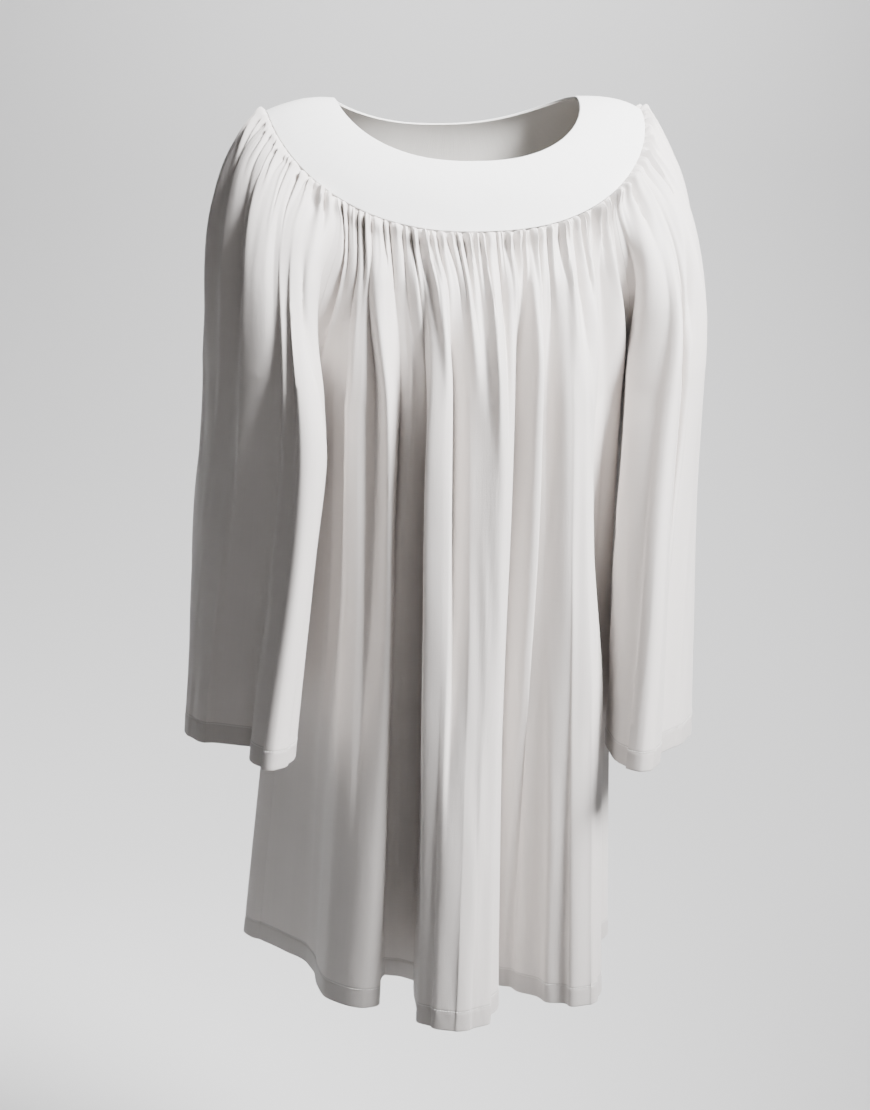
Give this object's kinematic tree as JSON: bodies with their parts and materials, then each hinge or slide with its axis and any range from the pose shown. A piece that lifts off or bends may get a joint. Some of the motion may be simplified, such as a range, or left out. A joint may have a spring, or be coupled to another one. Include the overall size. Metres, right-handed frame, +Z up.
{
  "type": "surplice worn with no wearer shown",
  "caption": "White hip-length surplice with a round flat yoke, gathered body and long full sleeves, hollow and open at neck, hem and cuffs.",
  "frame": {"origin": "midway between the two neck ends of the shoulder seams, where the wearer's shoulders hold the garment up", "axes": "+Z up, the front faces -Y, +X is to the right of a viewer who faces the front"},
  "size_m": [0.5317, 0.4416, 0.8831],
  "materials": {
    "body_cloth": "fine plain weave, slight satin sheen",
    "yoke_cloth": "fine plain weave, pressed smooth",
    "lining_cloth": "fine plain weave, matte"
  },
  "bodies": {
    "root": {"yoke_front": "yoke_cloth", "yoke_back": "yoke_cloth", "yoke_lining": "lining_cloth", "front": "body_cloth", "back": "body_cloth", "sleeve_left": "body_cloth", "sleeve_right": "body_cloth"}
  },
  "joints": []
}
